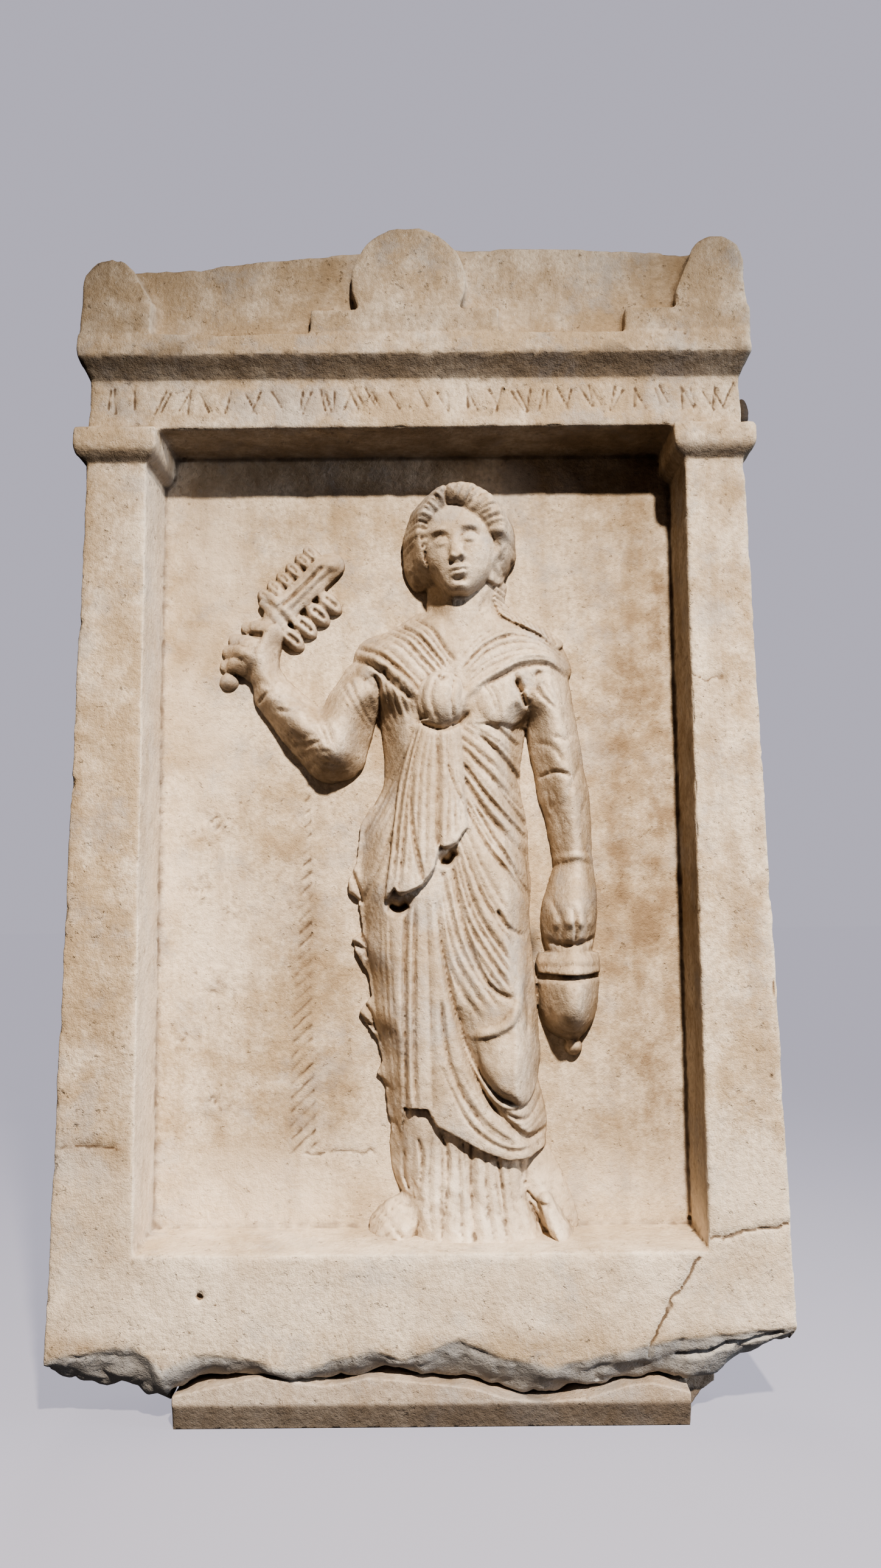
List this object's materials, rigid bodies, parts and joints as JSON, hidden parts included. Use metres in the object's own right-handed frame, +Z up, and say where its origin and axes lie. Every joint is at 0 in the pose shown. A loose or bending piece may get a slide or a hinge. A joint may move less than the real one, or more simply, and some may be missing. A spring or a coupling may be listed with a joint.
{
  "type": "carved stone stele",
  "caption": "Marble gravestone-shaped slab with a pillared niche, a high-relief standing woman, a worn crown and a broken foot seated on a low plinth.",
  "frame": {"origin": "underside of the plinth, below the centre line of the niche and in the plane of the niche's back", "axes": "+Z up, the carved front faces -Y, +X to the viewer's right"},
  "size_m": [0.8645, 0.222, 1.4368],
  "materials": {
    "stele": "weathered fine-grained marble with a warm patina",
    "plinth": "sawn and tooled pale stone",
    "iron_stub": "corroded, nearly black"
  },
  "bodies": {
    "root": {"stele": "stele", "plinth": "plinth", "iron_stub": "iron_stub"}
  },
  "joints": []
}
